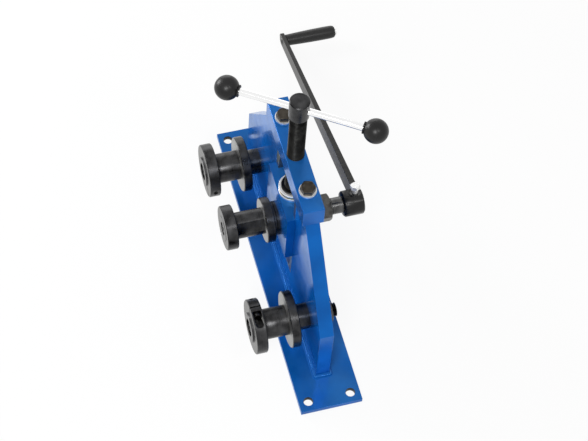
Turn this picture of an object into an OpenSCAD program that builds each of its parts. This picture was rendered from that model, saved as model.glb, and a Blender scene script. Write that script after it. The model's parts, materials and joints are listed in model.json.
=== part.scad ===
// Bench ring roller: three grooved rollers on an upright plate, a screw-fed middle roller and a crank.
// X runs along the roller axles and points to the crank, Y runs along the base plate, Z is up.
// The origin is the centre of the base plate's underside. All sizes are in millimetres.

/* [Base and frame] */
// Length of the base plate along Y
base_length = 492; // [470:1:560]
// Width of the base plate along X
base_width = 90; // [80:1:120]
// Thickness of the base plate
base_thick = 8; // [6:0.5:12]
// Radius of the holes for the bench bolts
base_hole_r = 6.75; // [4.5:0.25:8]
// Distance from the side of the base plate to the middle of a bench bolt hole
base_hole_side = 14; // [12:0.5:18]
// Distance from the end of the base plate to the middle of a bench bolt hole
base_hole_end = 14.5; // [12:0.5:18]
// Thickness of the upright frame plate
frame_thick = 20; // [18:0.5:22]
// Length of the frame plate at its foot
foot_length = 392; // [380:1:430]
// Height of the upright ends of the frame plate
knee_height = 111; // [90:1:150]
// Height of the frame plate
frame_height = 248; // [244:1:270]
// Length of the frame plate at its top
frame_top_length = 184; // [180:1:200]
// Height of the bottom of the slot above the base plate
slot_floor = 50; // [36:1:51]
// Radius of the lower corners of the slot
slot_corner_r = 8; // [3:0.5:12]
// Leg of the fillet weld
weld_leg = 5; // [3:0.5:8]

/* [Top bar] */
// Length of the top bar
bar_length = 192; // [184:1:220]
// Width of the top bar along X
bar_width = 30; // [28:1:40]
// Height of the top bar
bar_height = 32; // [24:1:40]
// Distance from the spindle to a top bar bolt
bar_bolt_y = 62; // [58:1:72]
// Shank radius of the top bar bolts
bar_bolt_r = 6; // [5:0.5:7]
// How far the top bar bolts go into the frame plate
bar_bolt_grip = 30; // [20:1:40]

/* [Sliding block] */
// Width of the slot, and of the block's body that runs in it
slot_width = 80; // [76:1:84]
// Overall width of the block's plates
plate_width = 100; // [96:1:106]
// Height of the block
block_height = 95; // [90:1:100]
// Height of the drive shaft above the block's underside
shaft_above_block = 30; // [28:1:34]
// Height of the drive shaft below the top bar, with the block where the photo shows it
shaft_below_bar = 121; // [90:1:160]
// Thickness of the block's front plate and of its back plate
plate_thick = 11; // [10:0.5:13]
// Running gap between the block and the frame plate, on each side
slide_gap = 0.05; // [0.02:0.01:0.1]

/* [Spindle] */
// Thread radius of the spindle
spindle_r = 12; // [11:0.25:13]
// Thread pitch of the spindle
spindle_pitch = 3; // [2:0.5:4]
// Length of the spindle's thread
spindle_thread = 164; // [150:1:180]
// Radius of the spindle's head
head_r = 14; // [13.5:0.5:17]
// Height of the spindle's head
head_height = 32; // [26:1:40]
// Height of the cross hole above the underside of the head
cross_hole_z = 14.5; // [10:0.5:18]
// Radius of the spindle's journal in the thrust bearing
journal_r = 10; // [9:0.25:10.5]
// Radius of the spindle's tail in the block
tail_r = 7; // [6:0.25:7.5]
// Length of the spindle's tail in the block
tail_length = 40; // [36:1:42]
// Outer radius of the thrust bearing
race_r = 20; // [19:0.5:22]
// Height of the thrust bearing
bearing_height = 11; // [10:0.5:13]
// Radius of the balls of the thrust bearing
ball_r = 2.5; // [2.25:0.05:2.75]
// Number of balls of the thrust bearing
ball_count = 12; // [8:1:14]
// Radius of the thrust collar
collar_r = 17; // [15:0.5:19]
// Thickness of the thrust collar
collar_thick = 3; // [2:0.5:4]

/* [Tommy bar] */
// Radius of the tommy bar
tommy_r = 5; // [4:0.25:5.5]
// Distance between the centres of the two knobs
knob_spacing = 206; // [160:1:240]
// How far the bar is pushed through the head from its middle
tommy_offset = 2.5; // [-20:0.5:20]
// Angle of the bar about the spindle, from X towards Y
tommy_angle = -33.3; // [-80:0.1:80]
// Radius of a knob
knob_r = 17; // [14:0.5:20]
// Radius of a knob's neck
knob_neck_r = 8.5; // [7.5:0.5:10]
// Distance from a knob's centre to the face of its neck
knob_neck = 17.5; // [17:0.5:24]

/* [Rollers] */
// Distance from the middle of the machine to a lower roller's axle
roller_y = 135.5; // [130:0.5:142]
// Height of the lower axles above the base plate
axle_z = 74; // [66:0.5:84]
// Length of the lower rollers' collars, from the frame plate to the spool
collar_length = 18.9; // [16:0.1:24]
// Running gap at the faces that turn on each other
face_gap = 0.1; // [0.05:0.05:0.3]
// Thickness of the fixed disc of each spool
disc_thick = 12.5; // [9:0.5:16]
// Gap between the two discs of each lower roller
groove_width = 35; // [25:0.5:37]
// Gap between the two discs of the middle roller
mid_groove_width = 41.75; // [30:0.25:43]
// Width of the split clamp discs
clamp_width = 16; // [14:0.5:18]
// How far a lower spool's end stands out of its clamp disc
nose_length = 2.5; // [1:0.5:4]
// How far the middle spool's end stands out of its clamp disc
mid_nose_length = 0.5; // [0.25:0.25:2]
// Radius of the lower rollers' fixed discs
disc_r = 40.75; // [38:0.25:44]
// Radius of the lower rollers' clamp discs
clamp_r = 39.25; // [38:0.25:44]
// Radius of the lower rollers' bodies
body_r = 21.75; // [20:0.25:23]
// Radius of the middle roller's fixed disc
mid_disc_r = 32.5; // [31:0.25:36]
// Radius of the middle roller's clamp disc
mid_clamp_r = 32; // [31.5:0.25:36]
// Radius of the middle roller's body
mid_body_r = 19; // [18.5:0.25:20]
// Radius of the lower axles
axle_r = 10; // [9:0.25:10.5]
// Outer radius of the lower rollers' bushes
bush_r = 13; // [12:0.25:14]
// Radius of the lower axles' collars
collar_ring_r = 18.5; // [15.5:0.5:20]
// Width of a clamp disc's slit
slit_width = 2; // [1:0.25:3]
// Direction of the near roller's slit, from Y towards Z
near_slit_angle = 76; // [0:1:359]
// Direction of the far roller's slit
far_slit_angle = 221; // [0:1:359]
// Direction of the middle roller's slit
mid_slit_angle = 290; // [0:1:359]
// Shank radius of the clamp screws
clamp_screw_r = 3; // [2.5:0.25:3.25]
// Distance from a clamp disc's rim to the middle of its screw
clamp_screw_in = 7.5; // [7:0.25:8]

/* [Drive shaft] */
// Radius of the drive shaft
shaft_r = 12; // [11.5:0.1:12.4]
// Outer radius of the drive shaft's bushes
shaft_bush_r = 15; // [14.5:0.25:16.5]
// Radius of the front bush's flange and of the ring before it
front_flange_r = 24.5; // [20:0.5:28]
// Radius of the rear bush's flange
rear_flange_r = 18; // [17:0.5:20]
// Thickness of a bush's flange
flange_thick = 3.9; // [2.5:0.1:5]
// Thickness of the front spacer ring
front_ring_thick = 4; // [2.5:0.1:6]
// Radius of the rear spacer ring
rear_ring_r = 16; // [15:0.5:18]
// Thickness of the rear spacer ring
rear_ring_thick = 4.9; // [3:0.1:8]
// Radius of the shaft's washer
shaft_washer_r = 22; // [20.5:0.5:26]
// Thickness of the shaft's washer
shaft_washer_thick = 4; // [2:0.5:5]
// Width across flats of the shaft's nut
shaft_nut_flats = 36; // [34:1:41]
// Height of the shaft's nut
shaft_nut_height = 20; // [14:0.5:24]

/* [Crank] */
// Distance from the rear face of the shaft's nut to the hub
hub_stand = 21.8; // [10:0.1:40]
// Length of the crank hub
hub_length = 30; // [29:0.5:36]
// Radius of the crank hub
hub_r = 19; // [18.5:0.5:24]
// Angle of the crank below the level, on its way to the far side
crank_drop = 16.6; // [0:0.1:90]
// Distance from the shaft to the tip of the arm
arm_length = 418; // [400:1:500]
// Distance from the grip's pin to the tip of the arm
grip_from_tip = 12; // [10:0.5:20]
// Height of the arm at the shaft, across its flat side
arm_root_height = 31.6; // [26:0.2:32.8]
// Height of the arm at its tip
arm_tip_height = 20; // [18:0.5:24]
// Thickness of the arm at the shaft
arm_root_thick = 9; // [7:0.2:10]
// Thickness of the arm at its tip
arm_tip_thick = 6; // [5.5:0.2:8]
// Corner radius of the arm's tip
arm_corner_r = 8; // [4:0.5:8.5]
// Length of the grip
grip_length = 79; // [60:1:100]
// Radius of the grip at the arm
grip_root_r = 7.5; // [7:0.25:9]
// Radius of the grip near its free end
grip_end_r = 10; // [9.5:0.25:14]
// Radius of the grip's pin
grip_pin_r = 4; // [3:0.25:4.5]

/* [Hidden] */
$fn = 96;
small_fn = 48;
tiny = 0.01; // overrun of cuts
cut = 1; // overrun of cuts through a face
shaft_gap = 0.05; // running gap of a shaft in its bush, radial
seat_gap = 0.02; // gap of a piece pressed or screwed into its seat, radial
free_gap = 0.5; // gap of a screw through a clearance hole, radial
edge = 0.6; // small turned or filed chamfer

// Frame
plate_x = frame_thick / 2;
bar_z = base_thick + frame_height;
bar_top = bar_z + bar_height;
lower_z = base_thick + axle_z;
hole_x = base_width / 2 - base_hole_side;
hole_y = base_length / 2 - base_hole_end;
bar_washer_r = 12.25;
bar_washer_thick = 2.5;
bar_head_flats = 19;
bar_head_height = 7.5;
bolt_tail = 4; // depth of a tapped hole past its screw

// Block: its height is set by where the drive shaft stands below the top bar
mid_z = bar_z - shaft_below_bar;
block_z = mid_z - shaft_above_block;
block_top = block_z + block_height;
block_x = plate_x + slide_gap;
front_x = -block_x - plate_thick;
back_x = block_x + plate_thick;
body_half = slot_width / 2 - slide_gap;
plate_screw_r = 3;
plate_screw_head_r = 5;
plate_screw_head = 6;
plate_screw_sink = 6.5;
plate_screw_depth = 14;
screw_reach = plate_thick + plate_screw_depth + bolt_tail; // tapped hole and plate together
plate_screw_y = 28;
plate_screw_low = 15;
plate_screw_high = 80;

// Spindle
journal_z = block_top;
cage_thick = 2.4;
cage_gap = 0.8;
race_thick = (bearing_height - cage_thick - cage_gap * 2) / 2;
ball_gap = 0.03;
ball_z = block_top + bearing_height / 2;
pitch_r = (race_r + journal_r) / 2;
pocket_gap = 0.15;
race_lip = 0.6;
collar_z = block_top + bearing_height;
thread_z = collar_z + collar_thick;
head_z = thread_z + spindle_thread;
head_top = head_z + head_height;
cross_z = head_z + cross_hole_z;
tail_z = block_top - tail_length;
thread_depth = spindle_pitch * 0.6; // how far the thread's end is turned down
neck_r = 5;
neck_width = 6;
neck_from_end = 13;
neck_z = tail_z + neck_from_end;
grub_r = 3;
grub_hex = 3;
grub_hex_depth = 4;

// Tommy bar
knob_hole_depth = 21;
knob_hole_gap = 0.02;

// Rollers: stations along X, from the frame plate outwards
spool_x = -plate_x - collar_length - face_gap;
disc_x = spool_x - disc_thick;
clamp_x = disc_x - groove_width;
clamp_face_x = clamp_x - clamp_width;
nose_x = clamp_face_x - nose_length;
nose_depth = 8.8;
axle_end_x = nose_x + nose_depth;
bush_end_x = axle_end_x + face_gap * 2;
bush_break = 1;
bush_length = (spool_x - bush_end_x - bush_break) / 2;
end_washer_r = bush_r - free_gap;
end_washer_thick = 2.5;
end_screw_r = 4;
end_screw_head_r = 6.5;
end_screw_head = 5;
end_screw_depth = 20;
end_screw_hex = 5;
end_screw_hex_depth = 3;
axle_washer_r = 18.5;
axle_washer_thick = 3;
axle_nut_flats = 30;
axle_nut_height = 11.5;
axle_tail = 7;
clamp_bore_gap = 0.05;
clamp_head_r = 5;
clamp_head = 6;
clamp_head_gap = 1;
clamp_screw_hex = 5;
clamp_screw_hex_depth = 3;
clamp_screw_end = 12;
disc_edge = 1;

// Middle roller
mid_clamp_x = disc_x - mid_groove_width;
mid_clamp_face_x = mid_clamp_x - clamp_width;
mid_nose_x = mid_clamp_face_x - mid_nose_length;
mid_nose_depth = 8;
mid_shoulder_x = mid_nose_x + mid_nose_depth;
mid_web = 4; // wall between the socket and the bore, which the end screw pulls on
mid_bore_end_x = mid_shoulder_x + mid_web;
mid_washer_r = 9.5;
mid_socket_r = 10;
mid_shaft_end_x = mid_bore_end_x + face_gap * 3;
key_width = 6;
key_height = 6;
key_sink = 3.5;
key_gap = 0.02;
mid_key_length = 30;
mid_key_x = disc_x - mid_key_length;

// Drive shaft stations
front_ring_x = spool_x;
front_flange_x = front_x - flange_thick;
bush_meet = 2;
rear_flange_x = back_x;
rear_ring_x = back_x + flange_thick + face_gap;
washer_x = rear_ring_x + rear_ring_thick;
nut_x = washer_x + shaft_washer_thick;
nut_end_x = nut_x + shaft_nut_height;

// Crank
hub_x = nut_end_x + hub_stand;
hub_end_x = hub_x + hub_length;
hub_wall = 2.1;
arm_x = hub_end_x - hub_wall - arm_root_thick / 2;
arm_gap = 0.05;
arm_face_x = arm_x - arm_root_thick / 2;
shaft_end_x = arm_face_x - hub_wall / 2;
arm_back = 15; // how far the arm's root goes past the shaft's axis
hub_key_length = 12;
hub_key_inset = 1.5;
hub_grub_r = 4;
hub_edge = 2;
hub_flat_h = 17.2;
hub_flat_r = 9;
clamp_bolt_x = arm_face_x + arm_root_thick / 6;
clamp_bolt_r = 4;
clamp_bolt_stand = 8;
clamp_bolt_head = 5.5;
clamp_bolt_flats = 13;
grip_gap = 0.3;
grip_slack = 1;
grip_x = arm_x + arm_tip_thick / 2 + grip_gap + grip_slack;
grip_end_x = grip_x + grip_length;
grip_dome = 3;
grip_washer_r = 6.5;
grip_washer_thick = 1;
grip_head_r = 6;
grip_head = 2;
rivet_r = 6;
rivet_height = 1.6;
crank_throw = arm_length - grip_from_tip;

// Shared shapes

// Puts a shape drawn along Z on the line that runs along X at a height and a place along Y
module along_x(x, y, z) {
    translate([x, y, z]) rotate([90, 0, 90]) children();
}

// A turned piece along X from its half section, given as [distance along X, radius] points
module turned(points, y, z) {
    along_x(0, y, z) rotate_extrude() polygon([for (p = points) [p[1], p[0]]]);
}

// A ring from one station along X to another, with its outer edges broken
module ring_x(x0, x1, outer, inner, y, z, bevel) {
    turned([
        [x0, inner], [x0, outer - bevel], [x0 + bevel, outer],
        [x1 - bevel, outer], [x1, outer - bevel], [x1, inner]
    ], y, z);
}

module rod_x(x0, x1, r, y, z) {
    along_x(x0, y, z) cylinder(r = r, h = x1 - x0);
}

// Six-sided prism along Z, flats measured across
module hex_prism(flats, height) {
    cylinder(r = flats / sqrt(3), h = height, $fn = 6);
}

// Hex shape with the corners of its outer face turned off
module hex_head(flats, height) {
    corner = flats / sqrt(3);
    intersection() {
        hex_prism(flats, height);
        rotate_extrude() polygon([
            [0, 0], [corner + tiny, 0], [corner + tiny, height - (corner - flats / 2) * tan(30) * 1.2],
            [flats / 2 * 0.98, height], [0, height]
        ]);
    }
}

// Socket screw along Z: the head stands up from 0, the shank goes down
module cap_screw(shank, depth, head, high, hex, hex_depth) {
    difference() {
        union() {
            rotate_extrude() polygon([
                [0, 0], [head, 0], [head, high - edge], [head - edge, high], [0, high]
            ]);
            translate([0, 0, -depth]) cylinder(r = shank - seat_gap, h = depth + tiny, $fn = small_fn);
        }
        translate([0, 0, high - hex_depth]) hex_prism(hex, hex_depth + cut);
    }
}

// Base and frame

module base_plate() {
    color("royalblue") difference() {
        linear_extrude(height = base_thick) square([base_width, base_length], center = true);
        for (sx = [-1, 1], sy = [-1, 1]) {
            translate([sx * hole_x, sy * hole_y, -cut]) {
                cylinder(r = base_hole_r, h = base_thick + cut * 2, $fn = small_fn);
            }
        }
    }
}

module slot_outline() {
    floor_y = slot_width / 2 - slot_corner_r;
    union() {
        translate([-slot_width / 2, slot_floor + slot_corner_r]) {
            square([slot_width, frame_height]);
        }
        translate([-floor_y, slot_floor]) square([floor_y * 2, slot_corner_r * 2]);
        for (side = [-1, 1]) {
            translate([side * floor_y, slot_floor + slot_corner_r]) circle(r = slot_corner_r);
        }
    }
}

module frame_plate() {
    foot = foot_length / 2;
    top = frame_top_length / 2;
    hole_depth = bar_bolt_grip + bolt_tail;
    color("royalblue") difference() {
        translate([-plate_x, 0, base_thick]) rotate([90, 0, 90]) {
            linear_extrude(height = frame_thick) difference() {
                polygon([
                    [-foot, 0], [foot, 0], [foot, knee_height], [top, frame_height],
                    [-top, frame_height], [-foot, knee_height]
                ]);
                slot_outline();
            }
        }
        for (side = [-1, 1]) {
            translate([0, side * bar_bolt_y, bar_z - hole_depth]) {
                cylinder(r = bar_bolt_r, h = hole_depth + cut, $fn = small_fn);
            }
            rod_x(-plate_x - cut, plate_x + cut, axle_r, side * roller_y, lower_z);
        }
    }
}

module weld_outline() {
    polygon([[0, 0], [weld_leg, 0], [0, weld_leg]]);
}

module weld_bead() {
    color("royalblue") translate([0, 0, base_thick]) {
        for (turn = [0, 180]) {
            rotate([0, 0, turn]) {
                translate([plate_x, foot_length / 2, 0]) {
                    rotate([90, 0, 0]) linear_extrude(height = foot_length) weld_outline();
                    rotate_extrude(angle = 90) weld_outline();
                }
                translate([-plate_x, foot_length / 2, 0]) {
                    rotate([90, 0, 90]) linear_extrude(height = frame_thick) weld_outline();
                    rotate([0, 0, 90]) rotate_extrude(angle = 90) weld_outline();
                }
            }
        }
    }
}

module top_bar() {
    color("royalblue") difference() {
        translate([0, 0, bar_z]) linear_extrude(height = bar_height) {
            square([bar_width, bar_length], center = true);
        }
        translate([0, 0, bar_z - cut]) cylinder(r = spindle_r + shaft_gap, h = bar_height + cut * 2);
        for (side = [-1, 1]) {
            translate([0, side * bar_bolt_y, bar_z - cut]) {
                cylinder(r = bar_bolt_r + free_gap, h = bar_height + cut * 2, $fn = small_fn);
            }
        }
    }
}

module top_bar_bolts() {
    shank = bar_bolt_grip + bar_height + bar_washer_thick;
    color("dimgray") for (side = [-1, 1]) {
        translate([0, side * bar_bolt_y, bar_top + bar_washer_thick]) {
            hex_head(bar_head_flats, bar_head_height);
            translate([0, 0, -shank]) {
                cylinder(r = bar_bolt_r - seat_gap, h = shank + tiny, $fn = small_fn);
            }
        }
    }
}

module top_bar_washers() {
    color("silver") for (side = [-1, 1]) {
        translate([0, side * bar_bolt_y, bar_top]) difference() {
            cylinder(r = bar_washer_r, h = bar_washer_thick);
            translate([0, 0, -cut]) {
                cylinder(r = bar_bolt_r + free_gap, h = bar_washer_thick + cut * 2, $fn = small_fn);
            }
        }
    }
}

// Lower rollers: side is -1 for the near one and 1 for the far one

module lower_axle(side) {
    stud_end = plate_x + axle_washer_thick + axle_nut_height + axle_tail;
    color("dimgray") difference() {
        turned([
            [axle_end_x, 0], [axle_end_x, axle_r - edge], [axle_end_x + edge, axle_r],
            [-plate_x - collar_length, axle_r], [-plate_x - collar_length, collar_ring_r - edge],
            [-plate_x - collar_length + edge, collar_ring_r], [-plate_x, collar_ring_r],
            [-plate_x, axle_r - seat_gap], [stud_end - edge, axle_r - seat_gap],
            [stud_end, axle_r - edge * 2], [stud_end, 0]
        ], side * roller_y, lower_z);
        rod_x(axle_end_x - cut, axle_end_x + end_screw_depth + bolt_tail - end_washer_thick,
            end_screw_r, side * roller_y, lower_z);
    }
}

module rear_washer(side) {
    color("dimgray") ring_x(plate_x, plate_x + axle_washer_thick, axle_washer_r, axle_r + free_gap / 2,
        side * roller_y, lower_z, edge / 2);
}

module rear_nut(side) {
    color("dimgray") translate([plate_x + axle_washer_thick, side * roller_y, lower_z]) {
        rotate([90, 0, 90]) difference() {
            hex_head(axle_nut_flats, axle_nut_height);
            translate([0, 0, -cut]) cylinder(r = axle_r, h = axle_nut_height + cut * 2);
        }
    }
}

module end_washer(side) {
    color("silver") ring_x(axle_end_x - end_washer_thick, axle_end_x, end_washer_r,
        end_screw_r + free_gap / 2, side * roller_y, lower_z, edge / 2);
}

module end_screw(x, y, z) {
    color("dimgray") translate([x, y, z]) rotate([90, 0, 90]) mirror([0, 0, 1]) {
        cap_screw(end_screw_r, end_screw_depth, end_screw_head_r, end_screw_head, end_screw_hex,
            end_screw_hex_depth);
    }
}

module lower_spool(side) {
    color("dimgray") turned([
        [nose_x, bush_r], [nose_x, body_r - edge], [nose_x + edge, body_r], [disc_x, body_r],
        [disc_x, disc_r - disc_edge], [disc_x + disc_edge, disc_r], [spool_x - disc_edge, disc_r],
        [spool_x, disc_r - disc_edge], [spool_x, bush_r]
    ], side * roller_y, lower_z);
}

module lower_bushes(side) {
    color("goldenrod") for (x = [bush_end_x, spool_x - bush_length]) {
        ring_x(x, x + bush_length, bush_r - seat_gap, axle_r + shaft_gap, side * roller_y, lower_z, edge / 2);
    }
}

// Split disc: drawn round Z, with its slit along the first axis; the screw pulls the slit closed
module clamp_disc(outer, bore, face_x, y, z, slit_angle) {
    screw_at = outer - clamp_screw_in;
    middle = clamp_width / 2;
    pocket_r = clamp_head_r + clamp_head_gap;
    color("dimgray") translate([face_x, y, z]) rotate([90, 0, 90]) rotate([0, 0, slit_angle]) {
        difference() {
            rotate_extrude() polygon([
                [bore + clamp_bore_gap, 0], [outer - disc_edge, 0], [outer, disc_edge],
                [outer, clamp_width - disc_edge], [outer - disc_edge, clamp_width],
                [bore + clamp_bore_gap, clamp_width]
            ]);
            translate([bore / 2, -slit_width / 2, -cut]) {
                cube([outer, slit_width, clamp_width + cut * 2]);
            }
            translate([screw_at, 0, middle]) rotate([-90, 0, 0]) {
                translate([0, 0, clamp_seat(outer)]) {
                    cylinder(r = pocket_r, h = outer);
                    translate([0, -pocket_r, 0]) cube([outer, pocket_r * 2, outer]);
                }
                cylinder(r = clamp_screw_r + free_gap, h = outer);
            }
            translate([screw_at, 0, middle]) rotate([90, 0, 0]) {
                cylinder(r = clamp_screw_r, h = outer);
            }
        }
    }
}

// Distance from the slit to the seat of the clamp screw's head, so that the head lies inside the rim
function clamp_seat(outer) = sqrt(outer * outer - pow(outer - clamp_screw_in + clamp_head_r, 2))
    - clamp_head;

module clamp_screw(outer, face_x, y, z, slit_angle) {
    screw_at = outer - clamp_screw_in;
    seat = clamp_seat(outer);
    color("dimgray") translate([face_x, y, z]) rotate([90, 0, 90]) rotate([0, 0, slit_angle]) {
        translate([screw_at, 0, clamp_width / 2]) rotate([-90, 0, 0]) translate([0, 0, seat]) {
            cap_screw(clamp_screw_r, seat + clamp_screw_end, clamp_head_r, clamp_head,
                clamp_screw_hex, clamp_screw_hex_depth);
        }
    }
}

// Sliding block

module block_section(x0, x1, half) {
    translate([x0, 0, block_z]) rotate([90, 0, 90]) {
        linear_extrude(height = x1 - x0) translate([-half, 0]) square([half * 2, block_height]);
    }
}

module plate_screw_places() {
    for (side = [-1, 1], high = [plate_screw_low, plate_screw_high]) {
        translate([back_x, side * plate_screw_y, block_z + high]) rotate([0, 90, 0]) children();
    }
}

module slide_block() {
    color("royalblue") difference() {
        union() {
            block_section(front_x, -block_x, plate_width / 2);
            block_section(-block_x - tiny, block_x, body_half);
        }
        rod_x(front_x - cut, back_x, shaft_bush_r, 0, mid_z);
        translate([0, 0, tail_z - cut]) cylinder(r = tail_r + shaft_gap, h = tail_length + cut * 2);
        rod_x(0, back_x, grub_r, 0, neck_z + neck_width / 2);
        plate_screw_places() {
            translate([0, 0, -screw_reach]) {
                cylinder(r = plate_screw_r, h = screw_reach, $fn = small_fn);
            }
        }
    }
}

module back_plate() {
    color("royalblue") difference() {
        block_section(block_x, back_x, plate_width / 2);
        rod_x(block_x - cut, back_x + cut, shaft_bush_r, 0, mid_z);
        rod_x(block_x - cut, back_x + cut, grub_r, 0, neck_z + neck_width / 2);
        plate_screw_places() {
            translate([0, 0, -plate_thick - cut]) {
                cylinder(r = plate_screw_r + free_gap, h = plate_thick + cut * 2, $fn = small_fn);
            }
            translate([0, 0, -plate_screw_sink]) {
                cylinder(r = plate_screw_head_r + free_gap, h = plate_screw_sink + cut, $fn = small_fn);
            }
        }
    }
}

module back_plate_screws() {
    depth = plate_thick - plate_screw_sink + plate_screw_depth;
    color("dimgray") plate_screw_places() translate([0, 0, -plate_screw_sink]) {
        cap_screw(plate_screw_r, depth, plate_screw_head_r, plate_screw_head, clamp_screw_hex,
            clamp_screw_hex_depth);
    }
}

module front_bush() {
    color("goldenrod") turned([
        [front_flange_x, shaft_r + shaft_gap], [front_flange_x, front_flange_r - edge],
        [front_flange_x + edge, front_flange_r], [front_x, front_flange_r],
        [front_x, shaft_bush_r - seat_gap], [-bush_meet / 2, shaft_bush_r - seat_gap],
        [-bush_meet / 2, shaft_r + shaft_gap]
    ], 0, mid_z);
}

module rear_bush() {
    flange_end = back_x + flange_thick;
    color("goldenrod") turned([
        [flange_end, shaft_r + shaft_gap], [flange_end, rear_flange_r - edge],
        [flange_end - edge, rear_flange_r], [back_x, rear_flange_r],
        [back_x, shaft_bush_r - seat_gap], [bush_meet / 2, shaft_bush_r - seat_gap],
        [bush_meet / 2, shaft_r + shaft_gap]
    ], 0, mid_z);
}

module neck_grub_screw() {
    reach = neck_r + face_gap;
    color("dimgray") difference() {
        rod_x(reach, back_x - edge, grub_r - shaft_gap, 0, neck_z + neck_width / 2);
        translate([back_x - edge - grub_hex_depth, 0, neck_z + neck_width / 2]) {
            rotate([90, 0, 90]) hex_prism(grub_hex, grub_hex_depth + cut);
        }
    }
}

// Thrust bearing and spindle

module race(z0, inner, groove_z) {
    color("silver") translate([0, 0, z0]) difference() {
        rotate_extrude() polygon([
            [inner, 0], [race_r - edge / 2, 0], [race_r, edge / 2], [race_r, race_thick - edge / 2],
            [race_r - edge / 2, race_thick], [inner, race_thick]
        ]);
        translate([0, 0, groove_z]) rotate_extrude() translate([pitch_r, 0]) {
            circle(r = ball_r + ball_gap, $fn = small_fn);
        }
    }
}

module lower_race() {
    race(block_top, journal_r + race_lip, ball_z - block_top);
}

module upper_race() {
    race(collar_z - race_thick, journal_r + seat_gap, ball_z - collar_z + race_thick);
}

module thrust_cage() {
    color("goldenrod") difference() {
        translate([0, 0, ball_z - cage_thick / 2]) rotate_extrude() {
            translate([journal_r + race_lip, 0]) square([race_r - journal_r - race_lip * 2, cage_thick]);
        }
        for (i = [0 : ball_count - 1]) {
            rotate([0, 0, i * 360 / ball_count]) translate([pitch_r, 0, ball_z - cage_thick]) {
                cylinder(r = ball_r + pocket_gap, h = cage_thick * 2, $fn = small_fn);
            }
        }
    }
}

module thrust_balls() {
    color("silver") for (i = [0 : ball_count - 1]) {
        rotate([0, 0, i * 360 / ball_count]) translate([pitch_r, 0, ball_z]) {
            sphere(r = ball_r, $fn = 24);
        }
    }
}

module thrust_collar() {
    color("dimgray") translate([0, 0, collar_z]) rotate_extrude() polygon([
        [journal_r + seat_gap, 0], [collar_r - edge, 0], [collar_r, edge],
        [collar_r, collar_thick - edge], [collar_r - edge, collar_thick],
        [journal_r + seat_gap, collar_thick]
    ]);
}

module spindle() {
    color("dimgray") difference() {
        rotate_extrude() polygon([
            [0, tail_z], [tail_r - edge, tail_z], [tail_r, tail_z + edge], [tail_r, neck_z],
            [neck_r, neck_z], [neck_r, neck_z + neck_width], [tail_r, neck_z + neck_width],
            [tail_r, journal_z], [journal_r, journal_z], [journal_r, thread_z],
            [spindle_r - thread_depth, thread_z], [spindle_r, thread_z + thread_depth],
            [spindle_r, head_z],
            [head_r - edge, head_z], [head_r, head_z + edge], [head_r, head_top - edge * 2],
            [head_r - edge * 2, head_top], [0, head_top]
        ]);
        translate([0, 0, cross_z]) rotate([0, 0, tommy_angle]) rotate([0, 90, 0]) {
            cylinder(r = tommy_r + shaft_gap, h = head_r * 3, center = true);
        }
    }
}

// Puts a shape in the bar's own place: its first axis runs along the bar to the right knob
module on_tommy_bar() {
    translate([0, 0, cross_z]) rotate([0, 0, tommy_angle]) translate([tommy_offset, 0, 0]) children();
}

module tommy_bar() {
    half = knob_spacing / 2 - knob_neck + knob_hole_depth;
    color("silver") on_tommy_bar() rotate([0, 90, 0]) {
        cylinder(r = tommy_r, h = half * 2, center = true);
    }
}

module knob(side) {
    color("dimgray") on_tommy_bar() translate([side * knob_spacing / 2, 0, 0]) {
        rotate([0, -side * 90, 0]) difference() {
            union() {
                sphere(r = knob_r);
                cylinder(r = knob_neck_r, h = knob_neck);
            }
            translate([0, 0, knob_neck - knob_hole_depth]) {
                cylinder(r = tommy_r + knob_hole_gap, h = knob_hole_depth + cut);
            }
        }
    }
}

// Drive shaft and middle roller

// Key seat along X, cut into the top of a shaft of radius r
module key_block(x0, length, r, extra) {
    translate([x0 - extra, -key_width / 2 - extra, mid_z + r - key_sink - extra]) {
        cube([length + extra * 2, key_width + extra * 2, key_height + extra * 2]);
    }
}

module drive_shaft() {
    color("dimgray") difference() {
        turned([
            [mid_shaft_end_x, 0], [mid_shaft_end_x, shaft_r - edge], [mid_shaft_end_x + edge, shaft_r],
            [shaft_end_x - edge, shaft_r], [shaft_end_x, shaft_r - edge], [shaft_end_x, 0]
        ], 0, mid_z);
        key_block(mid_key_x, mid_key_length, shaft_r, key_gap);
        key_block(hub_x + hub_key_inset, hub_key_length, shaft_r, key_gap);
        rod_x(mid_shaft_end_x - cut, mid_shaft_end_x + end_screw_depth + bolt_tail, end_screw_r, 0, mid_z);
    }
}

module middle_spool() {
    color("dimgray") difference() {
        turned([
            [mid_nose_x, mid_socket_r], [mid_nose_x, mid_body_r - edge], [mid_nose_x + edge, mid_body_r],
            [disc_x, mid_body_r], [disc_x, mid_disc_r - disc_edge], [disc_x + disc_edge, mid_disc_r],
            [spool_x - disc_edge, mid_disc_r], [spool_x, mid_disc_r - disc_edge],
            [spool_x, shaft_r + seat_gap], [mid_bore_end_x, shaft_r + seat_gap],
            [mid_bore_end_x, end_screw_r + free_gap], [mid_shoulder_x, end_screw_r + free_gap],
            [mid_shoulder_x, mid_socket_r]
        ], 0, mid_z);
        key_block(mid_key_x, spool_x - mid_key_x + cut, shaft_r, key_gap);
    }
}

module middle_key() {
    color("silver") key_block(mid_key_x, mid_key_length, shaft_r, 0);
}

module middle_end_washer() {
    color("silver") ring_x(mid_shoulder_x - end_washer_thick, mid_shoulder_x, mid_washer_r,
        end_screw_r + free_gap / 2, 0, mid_z, edge / 2);
}

module front_ring() {
    color("dimgray") ring_x(front_ring_x, front_ring_x + front_ring_thick, front_flange_r,
        shaft_r + seat_gap, 0, mid_z, edge);
}

module rear_ring() {
    color("dimgray") ring_x(rear_ring_x, rear_ring_x + rear_ring_thick, rear_ring_r,
        shaft_r + seat_gap, 0, mid_z, edge / 2);
}

module shaft_washer() {
    color("silver") ring_x(washer_x, washer_x + shaft_washer_thick, shaft_washer_r,
        shaft_r + seat_gap, 0, mid_z, edge / 2);
}

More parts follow.
